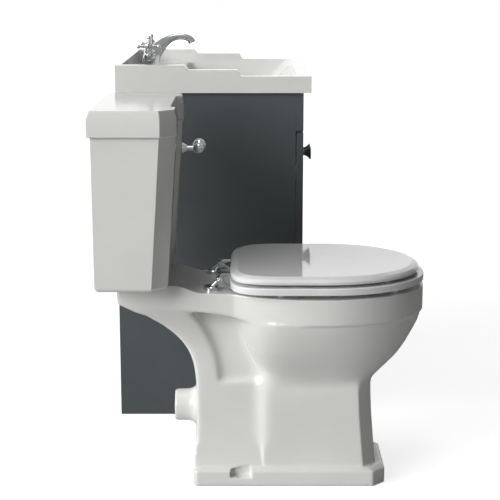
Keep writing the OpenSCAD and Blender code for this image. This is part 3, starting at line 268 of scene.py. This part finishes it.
def round_edges(node, name, width, segments, sharp=30):
    """A piece whose edges, from a sharp angle in degrees on, are rounded by a width in millimetres."""
    piece = blank(node, name)
    bpy.ops.object.mode_set(mode="EDIT")
    bpy.ops.mesh.dissolve_limited(angle_limit=math.radians(FLAT))
    bpy.ops.object.mode_set(mode="OBJECT")
    use(
        piece, "BEVEL", width=width / 1000, segments=segments, limit_method="ANGLE",
        angle_limit=math.radians(sharp), miter_outer="MITER_ARC", use_clamp_overlap=True,
    )
    bpy.ops.object.shade_smooth()
    use(piece, "WEIGHTED_NORMAL", keep_sharp=True)
    settle(piece, node)
    return piece


def ease(value, low, high):
    """Nought below the low value, one above the high one and an even curve between them."""
    share = min(max((value - low) / (high - low), 0), 1)
    return share * share * (3 - 2 * share)


def flowing(y, z):
    """How far the pan's forms run into each other at a place: the bowl's swell, and the web between it and the leg.

    Each ease() gives where that starts or ends, in millimetres of height or of distance from the wall.
    """
    swell = ease(z, 208, 226) * (1 - ease(z, 352, 364)) * ease(-y, 340, 360)
    web = ease(z, 84, 98) * (1 - ease(z, 400, 418)) * ease(-y, 30, 70) * (1 - ease(-y, 348, 380))
    return round(max(swell, web), 1)


def cornering(y, z):
    """How near a place is to the upright edge where the web meets the pedestal, 350 mm from the wall."""
    return ease(z, 70, 120) * (1 - ease(z, 225, 290)) * (1 - ease(abs(y + 350), 12, 45))


def soften(piece, share_at, times):
    """Smooths a piece many times over, by the share that a function gives for each place's distance and height."""
    group = piece.vertex_groups.new(name=share_at.__name__)
    members_of = {}
    for v in piece.data.vertices:
        share = share_at(*measured(v.co)[1:])
        if share > 0:
            members_of.setdefault(share, []).append(v.index)
    for share, members in members_of.items():
        group.add(members, share, "REPLACE")
    use(piece, "SMOOTH", factor=0.5, iterations=times, vertex_group=group.name)


# The pan is one casting whose forms flow into each other. It is worked in a clay with a grain in metres, of whose
# faces a share is kept.
CLAY_GRAIN, FACES_KEPT, CASTING_SHARP = 0.0024, 0.45, 38
pan = blank("pan", "pan_casting")
use(pan, "REMESH", mode="VOXEL", voxel_size=CLAY_GRAIN, use_smooth_shade=True)
use(pan, "SMOOTH", factor=0.5, iterations=2)
soften(pan, flowing, 80)
soften(pan, cornering, 200)
use(pan, "DECIMATE", ratio=FACES_KEPT)


def block(low, high):
    """A box between two corners, left in edit mode with nothing selected."""
    put_down()
    bpy.ops.mesh.primitive_cube_add(size=1, location=(at(*low) + at(*high)) / 2)
    made = bpy.context.object
    made.scale = [(h - l) / 1000 for l, h in zip(low, high)]
    bpy.ops.object.transform_apply(location=True, rotation=True, scale=True)
    bpy.ops.object.mode_set(mode="EDIT")
    bpy.ops.mesh.select_all(action="DESELECT")
    return made


def cut(piece, tool):
    """Takes a tool's shape out of a piece and throws the tool away."""
    use(piece, "BOOLEAN", operation="DIFFERENCE", object=tool, solver="MANIFOLD")
    bpy.data.objects.remove(tool)


# The notches for the floor screws are cut after the smoothing, so their edges are sharper than the rest. Their top
# falls towards the wall.
SCREW_OUT, SCREW_FROM_WALL, SCREW_RADIUS = 92, 299, 3.75
NOTCH_IN, NOTCH_OUT, NOTCH_FRONT, NOTCH_BACK = 84, 104, 325, 279
NOTCH_FLOOR, NOTCH_TOP, NOTCH_FALL = 18.5, 42, 5
for side in (-1, 1):
    near, far = sorted((side * NOTCH_IN, side * NOTCH_OUT))
    notch = block((near, -NOTCH_FRONT, NOTCH_FLOOR), (far, -NOTCH_BACK, NOTCH_TOP))
    edit = bmesh.from_edit_mesh(notch.data)
    middle = at(0, -(NOTCH_FRONT + NOTCH_BACK) / 2, (NOTCH_FLOOR + NOTCH_TOP) / 2)
    for v in edit.verts:
        if v.co.z > middle.z and v.co.y > middle.y:
            v.co.z -= NOTCH_FALL / 1000
    bmesh.update_edit_mesh(notch.data)
    cut(pan, notch)
    put_down()
    bpy.ops.mesh.primitive_cylinder_add(
        vertices=24, radius=SCREW_RADIUS / 1000, depth=0.024, location=at(side * SCREW_OUT, -SCREW_FROM_WALL, 8)
    )
    bore = bpy.context.object
    bpy.ops.object.transform_apply(location=True, rotation=True, scale=True)
    cut(pan, bore)
pick_up(pan)
bpy.ops.object.shade_smooth_by_angle(angle=math.radians(CASTING_SHARP))
settle(pan, "pan")

# The other castings leave the mould with rounds of a few millimetres.
round_edges("cistern", "tank_casting", 5, 4)
round_edges("cistern_lid", "tank_lid_casting", 2, 3, 20)
round_edges("basin", "basin_casting", 3, 3, 35)

# Boards have their edges broken with sandpaper, and the doors' edges are routed before the lacquer.
for node in ("side_left", "side_right", "bottom_panel", "kick_board", "back_rails", "door_rail", "fascia", "shelf"):
    round_edges(node, node + "_lacquered", 0.8, 2)
for node in ("door_left", "door_right"):
    round_edges(node, node + "_lacquered", 1.6, 3)

# The seat's ring has a fuller round than its lid.
round_edges("seat", "seat_moulding", 2.2, 3, 40)
round_edges("seat_lid", "seat_lid_moulding", 1.2, 3, 12)

# Small fittings, turned, cast, pressed or moulded, have a fine edge that catches the light.
FINE_EDGE = {"width": 0.4, "segments": 2, "sharp": 35}
for node in (
    "spout", "tap_valves", "hot_handle", "cold_handle", "lever_rose", "flush_lever", "knob_left", "knob_right",
    "hinge_pins", "seat_arms", "lid_arms", "overflow_ring", "waste_plug", "bottle_trap", "trap_cup",
    "trap_pipe", "seat_buffers", "lid_buffers", "coupling_nuts", "tap_nuts", "tap_links", "tap_tails",
):
    round_edges(node, node + "_polished", **FINE_EDGE)

# The hinges stand on broad round plates, so the foot of each base is widened.
HINGE_OUT, HINGE_FROM_WALL, RIM = 76, 240, 428
FOOT_HEIGHT, FOOT_RADIUS, FOOT_WIDENED = 0.0097, 0.0128, 1.36
hinge_feet = round_edges("hinge_bases", "hinge_bases_polished", **FINE_EDGE)
for v in hinge_feet.data.vertices:
    foot = at(math.copysign(HINGE_OUT, measured(v.co)[0]), -HINGE_FROM_WALL, RIM)
    if v.co.z < foot.z + FOOT_HEIGHT and (v.co - foot).to_2d().length < FOOT_RADIUS:
        v.co.x = foot.x + (v.co.x - foot.x) * FOOT_WIDENED
        v.co.y = foot.y + (v.co.y - foot.y) * FOOT_WIDENED

WHITE = (1, 1, 1, 1)


def seen_by_eye(tree, mirrors):
    """One where a surface is looked at, by the camera or also in a mirror, and nought where it lights something."""
    rays = add(tree, "ShaderNodeLightPath").outputs
    seen = rays["Is Camera Ray"]
    for kind in ("Is Glossy Ray", "Is Transmission Ray") if mirrors else ():
        seen = add(tree, "ShaderNodeMath", {0: seen, 1: rays[kind]}, operation="MAXIMUM").outputs[0]
    return seen


# Shadows show near the object only: a plane starts to whiten at the first distance, in metres from its middle, and is
# white from the second on.
SHADOWS_END, ALL_WHITE = 3.0, 9.0


def backdrop(name, size, location, rotation, albedo, shown, mirrors):
    """A large plane of the studio, with its own colour and the strength that it is seen at."""
    put_down()
    bpy.ops.mesh.primitive_plane_add(size=1, location=location, rotation=rotation)
    plane = bpy.context.object
    plane.name = name
    plane.scale = (size[0], size[1], 1)
    bpy.ops.object.transform_apply(location=False, rotation=False, scale=True)
    made, tree, shader, place = finish(
        name + "_paint", Base_Color=linear(albedo), Roughness=0.9, Specular_IOR_Level=0.0, Emission_Color=WHITE
    )
    away = add(tree, "ShaderNodeVectorMath", {0: place}, operation="LENGTH").outputs["Value"]
    level = add(
        tree, "ShaderNodeMapRange",
        {"Value": away, "From Min": SHADOWS_END, "From Max": ALL_WHITE, "To Min": shown, "To Max": max(shown, 1.0)},
    )
    lift = add(
        tree, "ShaderNodeMath", {0: seen_by_eye(tree, mirrors), 1: level.outputs["Result"]}, operation="MULTIPLY"
    )
    tree.links.new(lift.outputs[0], shader.inputs["Emission Strength"])
    dress(plane, made)
    return plane


backdrop("studio_floor", (60, 60), (0, 0, -0.0006), (0, 0, 0), "#BCBCBC", 0.8, False)

# The screen is there for the mirrors. It hides nothing from a camera behind it and stops no light from that side.
screen = backdrop(
    "studio_screen", (9, 4), (3.4, 0.6, 2.0), (math.radians(90), 0, math.radians(90)), "#808080", 1.15, True
)
screen.visible_camera = False
screen.visible_shadow = False

# The sky is white to the camera, dimmer in mirrors, and gives next to no light of its own.
SKY_SEEN, SKY_IN_MIRRORS, SKY_LIGHT = 1.0, 0.45, 0.01
world = bpy.context.scene.world or bpy.data.worlds.new("studio_sky")
bpy.context.scene.world = world
world.use_nodes = True
tree = world.node_tree
tree.nodes.clear()
rays = add(tree, "ShaderNodeLightPath").outputs
mirrored = add(tree, "ShaderNodeMath", {0: rays["Is Glossy Ray"], 1: SKY_IN_MIRRORS}, operation="MULTIPLY")
seen = add(tree, "ShaderNodeMath", {0: rays["Is Camera Ray"], 1: mirrored.outputs[0]}, operation="MAXIMUM")
lit = add(tree, "ShaderNodeBackground", {"Color": WHITE, "Strength": SKY_LIGHT})
shown = add(tree, "ShaderNodeBackground", {"Color": WHITE, "Strength": SKY_SEEN})
sky = add(tree, "ShaderNodeMixShader", {0: seen.outputs[0], 1: lit.outputs[0], 2: shown.outputs[0]})
add(tree, "ShaderNodeOutputWorld", {"Surface": sky.outputs[0]})

# The lamps point at the object's middle, a little under half its height.
AIM = Vector((0.0, 0.0, 0.4))


def lamp(name, place, width, height, power):
    """A soft box of a width and height in metres and a power in watts."""
    bpy.ops.object.light_add(type="AREA", location=place)
    made = bpy.context.object
    made.name = name
    made.data.shape = "RECTANGLE"
    made.data.size = width
    made.data.size_y = height
    made.data.energy = power
    made.rotation_euler = (AIM - Vector(place)).to_track_quat("-Z", "Y").to_euler()
    made.visible_camera = False
    return made


lamp("key_softbox", (-9.5, 13.6, 7.4), 17.0, 10.0, 3600)
lamp("overhead_softbox", (-2.2, 2.2, 18.1), 8.0, 6.0, 480)
lamp("far_side_softbox", (17.0, 3.0, 4.0), 8.0, 6.0, 1100).visible_glossy = False

bpy.context.scene.view_settings.view_transform = "Standard"
